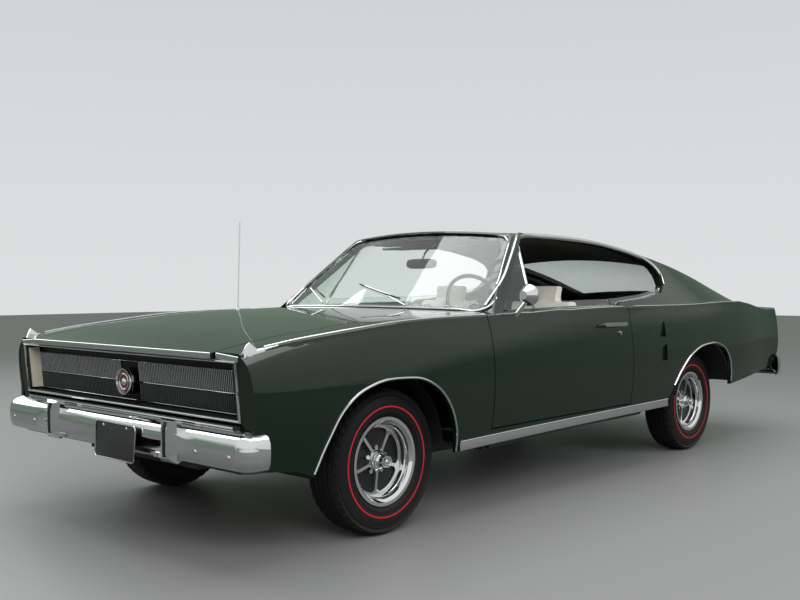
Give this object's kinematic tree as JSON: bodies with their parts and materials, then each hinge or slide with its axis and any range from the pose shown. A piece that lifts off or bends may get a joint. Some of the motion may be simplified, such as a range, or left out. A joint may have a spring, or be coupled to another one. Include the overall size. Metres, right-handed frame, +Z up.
{
  "type": "muscle car",
  "caption": "Two-door fastback muscle car with opening doors, hood and deck lid, coupled steering and free-rolling wheels.",
  "frame": {"origin": "on the floor under the middle of the car's length, on its centre plane", "axes": "+X to the car's left, +Y to its rear, +Z up"},
  "size_m": [1.972, 5.171, 1.4648],
  "materials": {
    "body_paint": "gloss metallic dark green",
    "window_glass": "clear, lightly green tinted",
    "chrome_trim": "polished chrome",
    "grille_metal": "anodised fine bars",
    "tyre_rubber": "black rubber with a red side stripe",
    "wheel_chrome": "chrome with black recesses",
    "under_paint": "satin black",
    "chassis_iron": "dark cast and forged metal",
    "engine_paint": "satin enamel",
    "tank_steel": "dull steel",
    "dash_plastic": "grained dark plastic",
    "seat_vinyl": "off-white vinyl with pleats",
    "lamp_lens": "red lens"
  },
  "bodies": {
    "car_body": {"fender_left": "body_paint", "fender_right": "body_paint", "cowl_firewall": "body_paint", "quarter_left": "body_paint", "quarter_right": "body_paint", "sills": "body_paint", "roof": "body_paint", "tail_panel": "body_paint", "front_valance": "body_paint", "windscreen": "window_glass", "rear_glass": "window_glass", "quarter_glass": "window_glass", "grille_surround": "chrome_trim", "front_bumper": "chrome_trim", "rear_bumper": "chrome_trim", "wipers": "chrome_trim", "antenna": "chrome_trim", "grille": "grille_metal", "floor_pan": "under_paint", "front_wheelhouses": "under_paint", "front_rails": "under_paint", "rear_rails": "under_paint", "radiator_support": "under_paint", "front_suspension": "chassis_iron", "rear_axle": "chassis_iron", "leaf_springs": "chassis_iron", "seat_frames": "chassis_iron", "steering_column": "chassis_iron", "engine": "engine_paint", "drivetrain": "engine_paint", "fuel_tank": "tank_steel", "exhaust": "tank_steel", "dashboard": "dash_plastic", "console": "dash_plastic", "front_seats": "seat_vinyl", "rear_seats": "seat_vinyl", "tail_lamps": "lamp_lens", "turn_lamps": "lamp_lens"},
    "hood_lid": {"hood": "body_paint"},
    "deck": {"deck_lid": "body_paint"},
    "left_door": {"door_left": "body_paint", "door_glass_left": "window_glass", "door_hardware_left": "chrome_trim"},
    "right_door": {"door_right": "body_paint", "door_glass_right": "window_glass", "door_hardware_right": "chrome_trim"},
    "left_knuckle": {"knuckle_left": "chassis_iron"},
    "right_knuckle": {"knuckle_right": "chassis_iron"},
    "front_left_wheel": {"tyre_front_left": "tyre_rubber", "wheel_front_left": "wheel_chrome"},
    "front_right_wheel": {"tyre_front_right": "tyre_rubber", "wheel_front_right": "wheel_chrome"},
    "rear_left_wheel": {"tyre_rear_left": "tyre_rubber", "wheel_rear_left": "wheel_chrome"},
    "rear_right_wheel": {"tyre_rear_right": "tyre_rubber", "wheel_rear_right": "wheel_chrome"},
    "steering": {"steering_wheel": "dash_plastic"}
  },
  "joints": [
    {"name": "steer_left", "type": "hinge", "parent": "car_body", "child": "left_knuckle", "pos_m": [0.6895, -1.7005, 0.322], "axis": [0, 0, 1], "range_deg": [-32, 32]},
    {"name": "steer_right", "type": "hinge", "parent": "car_body", "child": "right_knuckle", "pos_m": [-0.6895, -1.7005, 0.322], "axis": [0, 0, 1], "range_deg": [-32, 32]},
    {"name": "front_left_roll", "type": "hinge", "parent": "left_knuckle", "child": "front_left_wheel", "pos_m": [0.7555, -1.7005, 0.322], "axis": [1, 0, 0], "continuous": true},
    {"name": "front_right_roll", "type": "hinge", "parent": "right_knuckle", "child": "front_right_wheel", "pos_m": [-0.7555, -1.7005, 0.322], "axis": [1, 0, 0], "continuous": true},
    {"name": "rear_left_roll", "type": "hinge", "parent": "car_body", "child": "rear_left_wheel", "pos_m": [0.743, 1.2715, 0.322], "axis": [1, 0, 0], "continuous": true},
    {"name": "rear_right_roll", "type": "hinge", "parent": "car_body", "child": "rear_right_wheel", "pos_m": [-0.743, 1.2715, 0.322], "axis": [1, 0, 0], "continuous": true},
    {"name": "steering_turn", "type": "hinge", "parent": "car_body", "child": "steering", "pos_m": [0.37, -0.4555, 0.958], "axis": [0, 0.9272, 0.3746], "range_deg": [-512, 512]},
    {"name": "left_door_hinge", "type": "hinge", "parent": "car_body", "child": "left_door", "pos_m": [0.93, -1.0875, 0.65], "axis": [0, 0, -1], "range_deg": [0, 65]},
    {"name": "right_door_hinge", "type": "hinge", "parent": "car_body", "child": "right_door", "pos_m": [-0.93, -1.0875, 0.65], "axis": [0, 0, 1], "range_deg": [0, 65]},
    {"name": "hood_hinge", "type": "hinge", "parent": "car_body", "child": "hood_lid", "pos_m": [0, -1.1135, 0.955], "axis": [-1, 0, 0], "range_deg": [0, 55]},
    {"name": "deck_hinge", "type": "hinge", "parent": "car_body", "child": "deck", "pos_m": [0, 2.2225, 1.015], "axis": [1, 0, 0], "range_deg": [0, 60]}
  ],
  "couplings": [
    {"joint": "steer_right", "follows": "steer_left", "ratio": 1},
    {"joint": "steering_turn", "follows": "steer_left", "ratio": 16}
  ]
}
